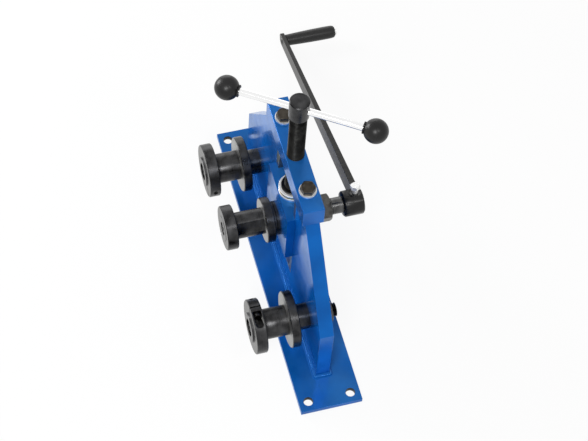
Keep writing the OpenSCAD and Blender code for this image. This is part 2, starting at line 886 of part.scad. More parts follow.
module shaft_nut() {
    color("dimgray") translate([nut_x, 0, mid_z]) rotate([90, 0, 90]) difference() {
        hex_head(shaft_nut_flats, shaft_nut_height);
        translate([0, 0, -cut]) cylinder(r = shaft_r + seat_gap, h = shaft_nut_height + cut * 2);
    }
}

// Crank

// Puts a shape in the crank's own place: X as in the row, Y along the arm, Z square to both
module on_crank() {
    translate([0, 0, mid_z]) rotate([-crank_drop, 0, 0]) children();
}

module arm_solid(extra) {
    span = arm_length + arm_back;
    root_h = arm_root_height / 2 + extra;
    tip_h = arm_tip_height / 2 + extra;
    root_t = arm_root_thick / 2 + extra;
    tip_t = arm_tip_thick / 2 + extra;
    start = -arm_back - extra;
    corner_y = arm_length - arm_corner_r;
    corner_z = tip_h - arm_corner_r;
    intersection() {
        translate([arm_x - arm_root_thick, 0, 0]) rotate([90, 0, 90]) {
            linear_extrude(height = arm_root_thick * 2) {
                polygon([
                    [start, -root_h], [0, -root_h], [corner_y, -tip_h],
                    [corner_y, tip_h], [0, root_h], [start, root_h]
                ]);
                translate([corner_y - arm_corner_r, -corner_z]) square([arm_corner_r * 2, corner_z * 2]);
                for (side = [-1, 1]) {
                    translate([corner_y, side * corner_z]) circle(r = arm_corner_r, $fn = small_fn);
                }
            }
        }
        translate([arm_x, 0, -arm_root_height]) linear_extrude(height = arm_root_height * 2) polygon([
            [-root_t, start], [root_t, start], [root_t, 0], [tip_t, arm_length],
            [-tip_t, arm_length], [-root_t, 0]
        ]);
    }
}

module crank_hub() {
    color("dimgray") on_crank() difference() {
        turned([
            [hub_x, shaft_r + seat_gap], [hub_x, hub_r - hub_edge], [hub_x + hub_edge, hub_r],
            [hub_end_x - hub_edge, hub_r], [hub_end_x, hub_r - hub_edge], [hub_end_x, 0],
            [shaft_end_x + seat_gap, 0], [shaft_end_x + seat_gap, shaft_r + seat_gap]
        ], 0, 0);
        arm_solid(arm_gap);
        translate([clamp_bolt_x, 0, hub_flat_h]) cylinder(r = hub_flat_r, h = hub_r);
        translate([clamp_bolt_x, 0, arm_root_height / 2 - edge]) cylinder(r = clamp_bolt_r, h = hub_r);
        translate([hub_x + hub_length / 3, 0, -hub_r]) {
            cylinder(r = hub_grub_r, h = hub_r, $fn = small_fn);
        }
        rotate([crank_drop, 0, 0]) translate([0, 0, -mid_z]) {
            key_block(hub_x - cut, hub_key_inset + hub_key_length + cut, shaft_r, key_gap);
        }
    }
}

module hub_key() {
    color("silver") key_block(hub_x + hub_key_inset, hub_key_length, shaft_r, 0);
}

module hub_grub_screw() {
    color("dimgray") on_crank() translate([hub_x + hub_length / 3, 0, -hub_r + edge]) difference() {
        cylinder(r = hub_grub_r - seat_gap, h = hub_r - edge - shaft_r - face_gap, $fn = small_fn);
        translate([0, 0, -cut]) hex_prism(grub_hex, grub_hex_depth + cut);
    }
}

module crank_arm() {
    color("gray") on_crank() difference() {
        arm_solid(0);
        rod_x(arm_x - arm_root_thick, arm_x + arm_root_thick, grip_pin_r, crank_throw, 0);
    }
}

module arm_clamp_bolt() {
    seat = arm_root_height / 2;
    shank = hub_flat_h + clamp_bolt_stand - seat;
    color("silver") on_crank() translate([clamp_bolt_x, 0, seat]) {
        cylinder(r = clamp_bolt_r - seat_gap, h = shank + tiny, $fn = small_fn);
        translate([0, 0, shank]) {
            hex_head(clamp_bolt_flats, clamp_bolt_head);
        }
    }
}

module grip_pin() {
    left = arm_x - arm_tip_thick / 2 - rivet_height;
    face = arm_x - arm_tip_thick / 2 - arm_gap;
    head = grip_end_x + grip_gap + grip_washer_thick;
    color("silver") on_crank() turned([
        [left, 0], [left, rivet_r / 2], [left + rivet_height / 2, rivet_r - edge], [face, rivet_r],
        [face, grip_pin_r - seat_gap], [head, grip_pin_r - seat_gap], [head, grip_head_r],
        [head + grip_head / 2, grip_head_r], [head + grip_head, grip_head_r * 0.6], [head + grip_head, 0]
    ], crank_throw, 0);
}

module grip_washer() {
    x0 = grip_end_x + grip_gap;
    color("silver") on_crank() ring_x(x0, x0 + grip_washer_thick, grip_washer_r,
        grip_pin_r + seat_gap, crank_throw, 0, edge / 4);
}

module crank_grip() {
    bore = grip_pin_r + shaft_gap;
    color("dimgray") on_crank() turned([
        [grip_x, bore], [grip_x, grip_root_r - edge], [grip_x + edge, grip_root_r],
        [grip_end_x - grip_dome, grip_end_r], [grip_end_x - grip_dome / 2, grip_end_r * 0.93],
        [grip_end_x, grip_end_r * 0.72], [grip_end_x, bore]
    ], crank_throw, 0);
}

module lower_end_screw(side) {
    end_screw(axle_end_x - end_washer_thick, side * roller_y, lower_z);
}

module lower_clamp_disc(side, slit_angle) {
    clamp_disc(clamp_r, body_r, clamp_face_x, side * roller_y, lower_z, slit_angle);
}

module lower_clamp_screw(side, slit_angle) {
    clamp_screw(clamp_r, clamp_face_x, side * roller_y, lower_z, slit_angle);
}

module middle_clamp_disc() {
    clamp_disc(mid_clamp_r, mid_body_r, mid_clamp_face_x, 0, mid_z, mid_slit_angle);
}

module middle_clamp_screw() {
    clamp_screw(mid_clamp_r, mid_clamp_face_x, 0, mid_z, mid_slit_angle);
}

base_plate();
frame_plate();
weld_bead();
top_bar();
top_bar_bolts();
top_bar_washers();
lower_axle(-1);  // near_axle
rear_washer(-1);  // near_rear_washer
rear_nut(-1);  // near_rear_nut
end_washer(-1);  // near_end_washer
lower_end_screw(-1);  // near_end_screw
lower_spool(-1);  // near_spool
lower_bushes(-1);  // near_bushes
lower_clamp_disc(-1, near_slit_angle);  // near_clamp_disc
lower_clamp_screw(-1, near_slit_angle);  // near_clamp_screw
lower_axle(1);  // far_axle
rear_washer(1);  // far_rear_washer
rear_nut(1);  // far_rear_nut
end_washer(1);  // far_end_washer
lower_end_screw(1);  // far_end_screw
lower_spool(1);  // far_spool
lower_bushes(1);  // far_bushes
lower_clamp_disc(1, far_slit_angle);  // far_clamp_disc
lower_clamp_screw(1, far_slit_angle);  // far_clamp_screw
slide_block();
back_plate();
back_plate_screws();
front_bush();
rear_bush();
lower_race();
neck_grub_screw();
thrust_cage();
thrust_balls();
upper_race();
thrust_collar();
spindle();
tommy_bar();
knob(-1);  // left_knob
knob(1);  // right_knob
drive_shaft();
middle_spool();
middle_key();
middle_end_washer();
end_screw(mid_shoulder_x - end_washer_thick, 0, mid_z);  // middle_end_screw
middle_clamp_disc();
middle_clamp_screw();
front_ring();
rear_ring();
shaft_washer();
shaft_nut();
crank_hub();
hub_key();
hub_grub_screw();
crank_arm();
arm_clamp_bolt();
grip_pin();
grip_washer();
crank_grip();
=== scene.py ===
import json
import math
import bmesh
import bpy
from mathutils import Matrix, Vector

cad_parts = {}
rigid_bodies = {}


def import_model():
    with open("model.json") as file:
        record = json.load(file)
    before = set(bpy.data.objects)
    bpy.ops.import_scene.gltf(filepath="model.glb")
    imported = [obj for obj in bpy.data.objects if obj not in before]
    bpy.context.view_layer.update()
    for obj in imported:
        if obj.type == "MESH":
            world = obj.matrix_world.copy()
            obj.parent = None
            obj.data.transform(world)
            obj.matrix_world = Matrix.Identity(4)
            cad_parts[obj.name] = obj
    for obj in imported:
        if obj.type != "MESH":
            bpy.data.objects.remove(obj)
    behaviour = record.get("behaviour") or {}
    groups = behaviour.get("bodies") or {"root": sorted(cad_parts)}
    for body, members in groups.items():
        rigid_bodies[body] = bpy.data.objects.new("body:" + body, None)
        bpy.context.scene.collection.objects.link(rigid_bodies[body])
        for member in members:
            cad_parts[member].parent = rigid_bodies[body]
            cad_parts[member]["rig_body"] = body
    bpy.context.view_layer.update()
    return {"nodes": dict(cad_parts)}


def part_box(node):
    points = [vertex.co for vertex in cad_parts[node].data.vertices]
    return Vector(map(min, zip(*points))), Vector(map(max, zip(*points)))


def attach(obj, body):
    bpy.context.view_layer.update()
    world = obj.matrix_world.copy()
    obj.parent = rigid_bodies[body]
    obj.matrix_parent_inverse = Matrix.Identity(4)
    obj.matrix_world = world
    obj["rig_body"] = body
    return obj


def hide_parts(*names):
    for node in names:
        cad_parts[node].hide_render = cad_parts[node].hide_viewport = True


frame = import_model()
nodes = frame["nodes"]
scene = bpy.context.scene
mm = 0.001

# places at rest, as in the part's source
rest = {
    "rollerY": 135.5 * mm,
    "rollerZ": 82 * mm,
    "shaftZ": 135 * mm,
    "tommyZ": 392.5 * mm,
    "tommyAngle": -33.3,  # degrees about the spindle
    "tommyOffset": 2.5 * mm,  # how far the bar is pushed through the spindle's head
    "crankAngle": -16.6,  # degrees about the shaft
}
# the axes that the turned pieces were turned about: direction, and a point on it
axes = {
    "near": ("X", Vector((0, -rest["rollerY"], rest["rollerZ"]))),
    "far": ("X", Vector((0, rest["rollerY"], rest["rollerZ"]))),
    "middle": ("X", Vector((0, 0, rest["shaftZ"]))),
    "spindle": ("Z", Vector((0, 0, 0))),
}
rollers = ("near", "far", "middle")


def turn(degrees, axis):
    return Matrix.Rotation(math.radians(degrees), 4, axis)


alongX = turn(90, "Y")  # lays down what was made standing on Z
onCrank = Matrix.Translation(axes["middle"][1]) @ turn(rest["crankAngle"], "X")


def hexColour(text):
    # from sRGB, as it is written, to the linear colour that a shader takes
    channels = [int(text[i:i + 2], 16) / 255 for i in (1, 3, 5)]
    linear = [c / 12.92 if c <= 0.04045 else ((c + 0.055) / 1.055) ** 2.4 for c in channels]
    return (*linear, 1)


def addNode(tree, kind, settings=None, inputs=()):
    # inputs go by name or number in a dictionary, or in their order in a tuple;
    # a socket is linked, and of a node the first output
    node = tree.nodes.new(kind)
    for name, value in (settings or {}).items():
        setattr(node, name, value)
    for name, value in (inputs.items() if isinstance(inputs, dict) else enumerate(inputs)):
        source = value.outputs[0] if isinstance(value, bpy.types.Node) else value
        if isinstance(source, bpy.types.NodeSocket):
            tree.links.new(source, node.inputs[name])
        else:
            node.inputs[name].default_value = source
    return node


# materials

mostNoise = (0.3, 0.7)  # nearly all values of a noise lie between these
midNoise = (0.35, 0.65)  # a narrower choice, for clearer patches
rgba = {"data_type": "RGBA"}  # such a mix has its share in socket 0, its colours in 6 and 7, and gives 2


def newMaterial(name, settings):
    material = bpy.data.materials.new(name)
    material.use_nodes = True
    tree = material.node_tree
    shader = tree.nodes["Principled BSDF"]
    for key, value in settings.items():
        shader.inputs[key].default_value = value
    place = addNode(tree, "ShaderNodeTexCoord").outputs["Object"]
    return material, tree, shader, place


def patchy(tree, place, size, between, values, detail=3.0):
    # soft patches of about the given size in metres, which run from the first value to the second
    noise = addNode(tree, "ShaderNodeTexNoise", None, {
        "Vector": place, "Scale": 1 / size, "Detail": detail,
    })
    return addNode(tree, "ShaderNodeMapRange", None, (noise, *between, *values))


def wireSurface(tree, shader, colour, gloss, height, depth, relief=1.0):
    # the last step of every finish: its colour, its roughness and its relief
    bump = addNode(tree, "ShaderNodeBump", None, {"Height": height, "Distance": depth, "Strength": relief})
    tree.links.new(colour.outputs[2], shader.inputs["Base Color"])
    tree.links.new(gloss.outputs[0], shader.inputs["Roughness"])
    tree.links.new(bump.outputs[0], shader.inputs["Normal"])


paintLook = {
    "thick": "#0962B8",  # the enamel where it lies thick
    "thin": "#0654A4",  # a little darker where the brush drew it out
    "stroke": 45 * mm,  # size of the thick and thin patches
    "gloss": (0.105, 0.215),  # roughness of the glossiest and the dullest patches
    "glossPatch": 20 * mm,
    "metal": 0.22,  # share of the light it throws back deep in colour
    "specular": 0.38,
    "cast": "#A2DAFF",  # cool tint of the light it throws back
    "peel": 4 * mm,  # waves of the dried enamel
    "peelDepth": 0.005 * mm,
}
dustAndSheenLook = {
    "colour": "#4C86B4",  # lighter and greyer on the level faces: workshop dust, with a painted sheen
    "level": (0.8, 0.95),  # upward part of a face's normal, where dust and painted sheen start and where they all stay
    "patch": 60 * mm,
    "patchNoise": (0.38, 0.6),  # values of the noise over which it thickens
    "shares": (0.03, 0.2),  # thinnest and thickest, in the colour
    "dulls": 0.3,  # what full dust would add to the roughness
}
rubLook = {
    "worn": "#A6A49C",  # steel rubbed bright by the block
    "dull": "#6E6C66",  # and the duller steel between the scratches
    "scratch": 5 * mm,
    "side": (48.6 * mm, 49.6 * mm),  # from the middle of the plate, where the bare band fades out
    "foot": (57 * mm, 59 * mm),  # height over which it fades in
    "stray": (-1.3 * mm, 1.3 * mm),  # how far its ragged edge strays
    "rag": 7 * mm,  # size of the rags
    "dulls": 0.2,  # what bare steel adds to the roughness
}


def addDustAndSheen(tree, place, colour, gloss):
    # a painted sheen with workshop dust, lighter and greyer on the level faces: it thins out on faces that
    # slope, and lies in soft patches
    normal = addNode(tree, "ShaderNodeSeparateXYZ", None, (place.node.outputs["Normal"],)).outputs
    levelShare = addNode(tree, "ShaderNodeMapRange", None, (normal["Z"], *dustAndSheenLook["level"]))
    patches = patchy(tree, place, dustAndSheenLook["patch"], dustAndSheenLook["patchNoise"], dustAndSheenLook["shares"],
                     detail=4.0)
    dustAndSheenShare = addNode(tree, "ShaderNodeMath", {"operation": "MULTIPLY"}, (levelShare, patches))
    dustyAndSheened = addNode(tree, "ShaderNodeMix", rgba, {
        0: dustAndSheenShare, 6: colour.outputs[2], 7: hexColour(dustAndSheenLook["colour"]),
    })
    gloss = addNode(tree, "ShaderNodeMath", {"operation": "MULTIPLY_ADD"}, (dustAndSheenShare, dustAndSheenLook["dulls"], gloss))
    return dustyAndSheened, gloss


def rubBare(tree, shader, place, colour, gloss):
    # the block's plates rub a band bare on each side of the slot, and its body rubs the slot's walls
    axis = addNode(tree, "ShaderNodeSeparateXYZ", None, (place,)).outputs
    aside = addNode(tree, "ShaderNodeMath", {"operation": "ABSOLUTE"}, (axis["Y"],))
    rags = patchy(tree, place, rubLook["rag"], mostNoise, rubLook["stray"])
    ragged = addNode(tree, "ShaderNodeMath", {"operation": "ADD"}, (aside, rags))
    band = addNode(tree, "ShaderNodeMapRange", None, (ragged, *rubLook["side"], 1, 0))
    above = addNode(tree, "ShaderNodeMapRange", None, (axis["Z"], *rubLook["foot"]))
    worn = addNode(tree, "ShaderNodeMath", {"operation": "MULTIPLY"}, (band, above))
    scratches = addNode(tree, "ShaderNodeTexNoise", None, {
        "Vector": place, "Scale": 1 / rubLook["scratch"], "Detail": 3.0,
    })
    steel = addNode(tree, "ShaderNodeMix", rgba, {
        0: scratches, 6: hexColour(rubLook["dull"]), 7: hexColour(rubLook["worn"]),
    })
    bare = addNode(tree, "ShaderNodeMix", rgba, {0: worn, 6: colour.outputs[2], 7: steel.outputs[2]})
    metal = addNode(tree, "ShaderNodeMapRange", None, (worn, 0, 1, paintLook["metal"], 1))
    tree.links.new(metal.outputs[0], shader.inputs["Metallic"])
    gloss = addNode(tree, "ShaderNodeMath", {"operation": "MULTIPLY_ADD"}, (worn, rubLook["dulls"], gloss))
    return bare, gloss


def makePaint(name, rubbed=False):
    # brushed enamel on steel plate: deep blue, glossy, faintly wavy, uneven in thickness
    material, tree, shader, place = newMaterial(name, {
        "Metallic": paintLook["metal"],
        "Specular IOR Level": paintLook["specular"],
        "Specular Tint": hexColour(paintLook["cast"]),
    })
    depth = patchy(tree, place, paintLook["stroke"], midNoise, (0, 1))
    colour = addNode(tree, "ShaderNodeMix", rgba, {
        0: depth, 6: hexColour(paintLook["thick"]), 7: hexColour(paintLook["thin"]),
    })
    gloss = patchy(tree, place, paintLook["glossPatch"], mostNoise, paintLook["gloss"])
    colour, gloss = addDustAndSheen(tree, place, colour, gloss)
    if rubbed:
        colour, gloss = rubBare(tree, shader, place, colour, gloss)
    waves = addNode(tree, "ShaderNodeTexNoise", None, {
        "Vector": place, "Scale": 1 / paintLook["peel"], "Detail": 1.0,
    })
    wireSurface(tree, shader, colour, gloss, waves, paintLook["peelDepth"])
    return material


turnedLook = {
    "feed": 0.8 * mm,  # width of the tool's rings, drawn coarser than the true 0.2 mm, which wouldn't show
    "depth": 0.015 * mm,
    "relief": 0.6,  # strength of the rings in the shading
    "contrast": 0.5,  # and in the colour, beside the oil
    "oil": 14 * mm,  # size of the patches of oil and handling
    "tones": (0.5, 1.0),  # rings and oil together, where the colour is darkest and lightest
    "glossier": 0.06,  # how far the roughness falls and rises from patch to patch
    "duller": 0.08,
}


def latheRings(tree, place, axis):
    # a pattern that runs round the axis on faces and on outsides alike, as a lathe tool leaves it
    direction, centre = axes[axis]
    moved = addNode(tree, "ShaderNodeMapping", {"vector_type": "POINT"}, {
        "Vector": place, "Location": -centre,
    })
    parts = addNode(tree, "ShaderNodeSeparateXYZ", None, (moved,)).outputs
    along, first, second = [parts[name] for name in ("XYZ" if direction == "X" else "ZXY")]
    square = addNode(tree, "ShaderNodeMath", {"operation": "MULTIPLY"}, (second, second))
    squares = addNode(tree, "ShaderNodeMath", {"operation": "MULTIPLY_ADD"}, (first, first, square))
    radius = addNode(tree, "ShaderNodeMath", {"operation": "SQRT"}, (squares,))
    path = addNode(tree, "ShaderNodeMath", {"operation": "ADD"}, (radius, along))
    return addNode(tree, "ShaderNodeTexNoise", {"noise_dimensions": "1D"}, {
        "W": path, "Scale": 1 / turnedLook["feed"], "Detail": 2.0, "Roughness": 0.6,
    })


def makeTurned(name, axis, dark, light, roughness, metal=1.0):
    # turned steel: fine rings that catch the light, with a faint cloud of oil and handling
    material, tree, shader, place = newMaterial(name, {"Metallic": metal})
    rings = latheRings(tree, place, axis)
    oil = addNode(tree, "ShaderNodeTexNoise", None, {
        "Vector": place, "Scale": 1 / turnedLook["oil"], "Detail": 3.0,
    })
    mingled = addNode(tree, "ShaderNodeMath", {"operation": "MULTIPLY_ADD"}, (
        rings, turnedLook["contrast"], oil,
    ))
    tone = addNode(tree, "ShaderNodeMapRange", None, (mingled, *turnedLook["tones"]))
    colour = addNode(tree, "ShaderNodeMix", rgba, {0: tone, 6: hexColour(dark), 7: hexColour(light)})
    gloss = addNode(tree, "ShaderNodeMapRange", None, (
        oil, *mostNoise, roughness - turnedLook["glossier"], roughness + turnedLook["duller"],
    ))
    wireSurface(tree, shader, colour, gloss, rings, turnedLook["depth"], turnedLook["relief"])
    return material


def makeTurnedSet(name, dark, light, roughness, turnedAbout=rollers):
    # one material for each axis, because the rings run round it
    return {axis: makeTurned(name + "." + axis, axis, dark, light, roughness) for axis in turnedAbout}


skinLook = {
    "patch": 4,  # a patch of the colour is this many grains wide
    "uneven": 0.15,  # share by which the roughness wanders
}


def makeSkin(name, dark, light, roughness, grain, depth, settings=None):
    # an even skin with a fine tooth, as plating, blacking, rolling or a mould leaves it; a true grain
    # of under 0.2 mm is drawn as 1 to 2 mm, so that it shows, and a longer one is the polish's wave
    material, tree, shader, place = newMaterial(name, settings or {"Metallic": 1.0})
    tone = patchy(tree, place, grain * skinLook["patch"], mostNoise, (0, 1))
    colour = addNode(tree, "ShaderNodeMix", rgba, {0: tone, 6: hexColour(dark), 7: hexColour(light)})
    low, high = roughness * (1 - skinLook["uneven"]), roughness * (1 + skinLook["uneven"])
    gloss = patchy(tree, place, grain * skinLook["patch"], mostNoise, (low, high))
    tooth = addNode(tree, "ShaderNodeTexNoise", None, {
        "Vector": place, "Scale": 1 / grain, "Detail": 4.0, "Roughness": 0.6,
    })
    wireSurface(tree, shader, colour, gloss, tooth, depth)
    return material


blueEnamel = makePaint("blueEnamel")
rubbedEnamel = makePaint("blueEnamelRubbedBySlide", rubbed=True)

# blacked in hot oil after turning: dark grey with soft glints along the rings
blackedSteel = makeTurnedSet("blackedTurnedSteel", "#262627", "#4C4C4D", 0.3, axes)
# turned faces, lighter than the rims: bare steel where the work rubs, with a painted reflection of the
# white floor; a mid grey with a silky shine
faceSteelAndReflection = makeTurnedSet("brightTurnedFaceAndReflection", "#8E8E8C", "#B4B4B2", 0.38)
# the outer turned faces, left to tarnish and also painted lighter than the rims as a painted reflection of
# the floor: the same shine, darker
dullFaceAndReflection = makeTurnedSet("dullTurnedFaceAndReflection", "#686867", "#8A8A88", 0.38)
# sintered bronze soaked in oil: brown with a dim gold light
bushBronze = makeTurnedSet("oiledBronze", "#5E4524", "#8C6C3C", 0.36)
# ground bearing steel: nearly white, and even
bearingSteel = makeTurned("groundBearingSteel", "spindle", "#ECECEA", "#FAFAF8", 0.45, metal=0.6)
# a shaft that hands have darkened: grey, brighter where it is touched
shaftSteel = makeTurned("handledShaftSteel", "middle", "#3E3E3E", "#6A6A6A", 0.3)
# a thread filled with dark grease: nearly black, wet at its crests
screwThread = makeTurned("greasedScrewThread", "spindle", "#1A1A1A", "#363635", 0.34)

# black oxide on socket screws: near black, satin
screwBlack = makeSkin("blackOxideScrew", "#161617", "#2C2C2C", 0.36, 1.5 * mm, 0.01 * mm)
# the same on nuts, worn grey by the spanner
nutBlack = makeSkin("blackOxideNut", "#3C3B3A", "#5C5B59", 0.34, 1.5 * mm, 0.02 * mm)
# browned bolt heads: a dark warm grey
boltBrown = makeSkin("brownedBoltHead", "#38342F", "#4C4741", 0.34, 1.5 * mm, 0.02 * mm)
# blacked and oiled hub: smooth and glossy, with wide soft lights
hubBlack = makeSkin("glossBlackedHub", "#2C2C2C", "#383838", 0.3, 5 * mm, 0.004 * mm)
# bright zinc plate: pale silver, a little milky
zincPlate = makeSkin("brightZincPlate", "#E4E4E2", "#F8F8F6", 0.42, 2 * mm, 0.01 * mm, {"Metallic": 0.6})
# drilled and left bare, and drawn near black as painted shade in the hole: dark, with hardly a shine
holeBareAndShaded = makeSkin("unpaintedDrilledSteelAndPaintedShade", "#141518", "#24262A", 0.5, 1.5 * mm, 0.02 * mm,
                    {"Metallic": 0.4})
# polished chrome rod: a clean mirror
chromeRod = makeSkin("polishedChromeRod", "#F0F0F0", "#FAFAFA", 0.1, 20 * mm, 0.0)
# pressed brass: a soft yellow metal
cageBrass = makeSkin("pressedBrassCage", "#A38440", "#C6A65E", 0.32, 2 * mm, 0.01 * mm)
# the arm's wide sides, painted lighter than its edges as a painted reflection of the floor: dark grey with
# a dry shine
litArmSteel = makeSkin("armSteelPaintedLit", "#4A4A49", "#686867", 0.42, 1.2 * mm, 0.03 * mm)
# its edges, painted darker than its sides as painted shade: nearly black and matt
shadedArmSteel = makeSkin("armSteelPaintedShade", "#242424", "#343433", 0.4, 1.2 * mm, 0.02 * mm)
# moulded phenolic: black with one small clear light
knobBlack = makeSkin("glossPhenolicKnob", "#101010", "#181818", 0.33, 8 * mm, 0.003 * mm,
                     {"Specular IOR Level": 0.3})
# moulded grip: black with a satin sheen
gripBlack = makeSkin("satinMouldedGrip", "#161616", "#202020", 0.38, 1.0 * mm, 0.03 * mm,
                     {"Specular IOR Level": 0.35})
print("materials made")


# pieces that follow the solids

joinWithin = 0.004 * mm  # corners of the solid's triangles nearer than this are one
flatWithin = math.radians(0.6)  # triangles that turn by less than this are one flat face
placeWithin = 0.001 * mm  # two places of the pieces made here nearer than this are one
planeWithin = 0.0005 * mm  # a corner this near to a cut lies on it
outsideWithin = 0.1 * mm  # a corner this near to a turned piece's radius lies on its outside
roundOver = math.radians(35)  # edges that turn by more are rounded
largeFace = 100 * mm * mm  # area
squareOn = 0.9999  # least part of a face's normal along one axis, where it lies square to it
acrossX = 0.9  # the same for a turned or filed side, which may slope a little
alongWall = 0.5  # most of it, where the face is a wall that runs through a plate
holeInset = 4 * mm  # the bolt holes lie further in from the base's edges
endDepth = 1 * mm  # a spool's end face lies this near to its tip


def bareSolid(node):
    # the solid's own triangles, joined up and cleared of the lines that cross its flat faces
    work = bmesh.new()
    work.from_mesh(nodes[node].data)
    bmesh.ops.remove_doubles(work, verts=work.verts, dist=joinWithin)
    bmesh.ops.dissolve_limit(work, angle_limit=flatWithin, verts=work.verts, edges=work.edges)
    return work


def keepPiece(name, work, node, materials, pick=None, sharp=32, replace=True, plate=False):
    # puts the work into the scene in place of the solid, on the same moving body;
    # pick gives a face the number of its material, and edges over sharp degrees stay crisp;
    # on a plate the large faces, and the slivers left in their planes, are shaded flat
    mesh = bpy.data.meshes.new(name)
    work.to_mesh(mesh)
    work.free()
    for material in materials:
        mesh.materials.append(material)
    for face in mesh.polygons:
        face.material_index = pick(face) if pick else 0
    mesh.shade_smooth()
    mesh.set_sharp_from_angle(angle=math.radians(sharp))
    if plate:
        for face in mesh.polygons:
            level = max(abs(part) for part in face.normal) > squareOn
            face.use_smooth = face.area < largeFace and not level
    piece = bpy.data.objects.new(name, mesh)
    scene.collection.objects.link(piece)
    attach(piece, nodes[node]["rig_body"])
    if replace:
        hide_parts(node)


def roundEdges(work, width):
    # two narrow faces in place of each sharp edge
    edges = [edge for edge in work.edges
             if len(edge.link_faces) == 2 and edge.calc_face_angle(0) > roundOver]
    bmesh.ops.bevel(work, geom=edges, offset=width, offset_type="OFFSET", segments=2, profile=0.5,
                    affect="EDGES", clamp_overlap=True)
    return work


def cutAcross(work, point, direction, drop=False):
    # parts the faces along a plane, and drops what lies past it if asked
    bmesh.ops.bisect_plane(work, geom=work.verts[:] + work.edges[:] + work.faces[:], dist=planeWithin,
                           plane_co=point, plane_no=direction, clear_outer=drop)


def sideFace(face):
    return 1 if abs(face.normal.x) > acrossX else 0


def grooveFace(face, inward, tip=-math.inf):
    # faces across X take lighter steel than the rims, a painted reflection of the white floor; the groove's
    # two walls are rubbed bright by the work (1), the outer ends keep a dull skin (2)
    if not sideFace(face):
        return 0
    return 1 if face.normal.x * inward > 0 and face.center.x > tip + endDepth else 2


def clampFace(face, centre, low, high):
    # and between these radii are the slit and the screw's pocket, drawn near black as painted shade in the
    # recess (3)
    radius = math.hypot(face.center.y - centre.y, face.center.z - centre.z)
    return 3 if low < radius < high and not sideFace(face) else grooveFace(face, 1)


def insideBase(face):
    # the walls of the bolt holes are bare steel with painted shade
    low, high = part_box("base_plate")
    inside = all(low[i] + holeInset < face.center[i] < high[i] - holeInset for i in (0, 1))
    return 1 if inside and abs(face.normal.z) < alongWall else 0


# sawn plate with its edges broken by a file
plates = {
    # node: piece, width of the broken edge, paints, which of them a face has
    "base_plate": ("basePlate", 1.2 * mm, [blueEnamel, holeBareAndShaded], insideBase),
    "frame_plate": ("framePlate", 1.4 * mm, [rubbedEnamel], None),
    "top_bar": ("topBar", 1.1 * mm, [blueEnamel], None),
    "slide_block": ("slideBlock", 1.2 * mm, [blueEnamel], None),
    "back_plate": ("backPlate", 0.8 * mm, [blueEnamel], None),
}
for node, (name, width, paints, pick) in plates.items():
    keepPiece(name, roundEdges(bareSolid(node), width), node, paints, pick, plate=True)
keepPiece("weldFillet", bareSolid("weld_bead"), "weld_bead", [blueEnamel], plate=True)
print("plates made")

# the arm, flat bar with a tail that is ground round where it comes through the hub
armLook = {
    "edge": 0.7 * mm,  # width of the broken edges
    "tailRadius": 18.95 * mm,  # flush with the hub's outside
    "tailEnd": 9 * mm,  # the tail lies further than this from the shaft's axis
    "cuts": 11,  # facets of the rounding
    "spread": 64,  # degrees that they take to either side of the arm's line
}


def roundTail(work):
    # cuts one facet after another round the tail, and closes each cut
    half = armLook["cuts"] // 2
    for step in range(-half, half + 1):
        angle = math.radians(armLook["spread"] * step / half)
        outward = Vector((0, -math.cos(angle), math.sin(angle)))
        cutAcross(work, onCrank @ (outward * armLook["tailRadius"]), onCrank.to_3x3() @ outward, drop=True)
        bmesh.ops.holes_fill(work, edges=[edge for edge in work.edges if edge.is_boundary])
    bmesh.ops.recalc_face_normals(work, faces=work.faces)
    return work


def armFace(face):
    # the wide sides are painted lighter than the edges, as painted light and shade; the tail is blacked
    # with the hub
    along = (onCrank.inverted() @ face.center).y
    return 2 if along < -armLook["tailEnd"] and abs(face.normal.x) < alongWall else sideFace(face)


keepPiece("crankArm", roundTail(roundEdges(bareSolid("crank_arm"), armLook["edge"])), "crank_arm",
          [shadedArmSteel, litArmSteel, hubBlack], armFace, plate=True)
print("arm made")

slitRange = {
    # radii between which a clamp disc has no walls but those of its slit and pocket
    "near": (23 * mm, 38.25 * mm),
    "far": (23 * mm, 38.25 * mm),
    "middle": (20 * mm, 31.5 * mm),
}
for side in rollers:
    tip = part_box(side + "_spool")[0].x
    # the side faces take lighter steel than the rims and bodies, a painted reflection of the floor
    skins = [blackedSteel[side], faceSteelAndReflection[side], dullFaceAndReflection[side]]
    keepPiece(side + "Spool", bareSolid(side + "_spool"), side + "_spool", skins,
              lambda face: grooveFace(face, -1, tip))
    # the slit and pocket of a clamp disc take the screws' near black, as painted shade
    keepPiece(side + "ClampDisc", bareSolid(side + "_clamp_disc"), side + "_clamp_disc",
              skins + [screwBlack], lambda face: clampFace(face, axes[side][1], *slitRange[side]))
    keepPiece(side + "ClampScrew", bareSolid(side + "_clamp_screw"), side + "_clamp_screw", [screwBlack])
for side in ("near", "far"):
    axleParts = {
        "_rear_washer": ("RearWasher", zincPlate), "_end_washer": ("EndWasher", nutBlack),
        "_end_screw": ("EndScrew", screwBlack), "_bushes": ("Bushes", bushBronze[side]),
    }
    for node, (name, material) in axleParts.items():
        keepPiece(side + name, bareSolid(side + node), side + node, [material])
print("rollers made")

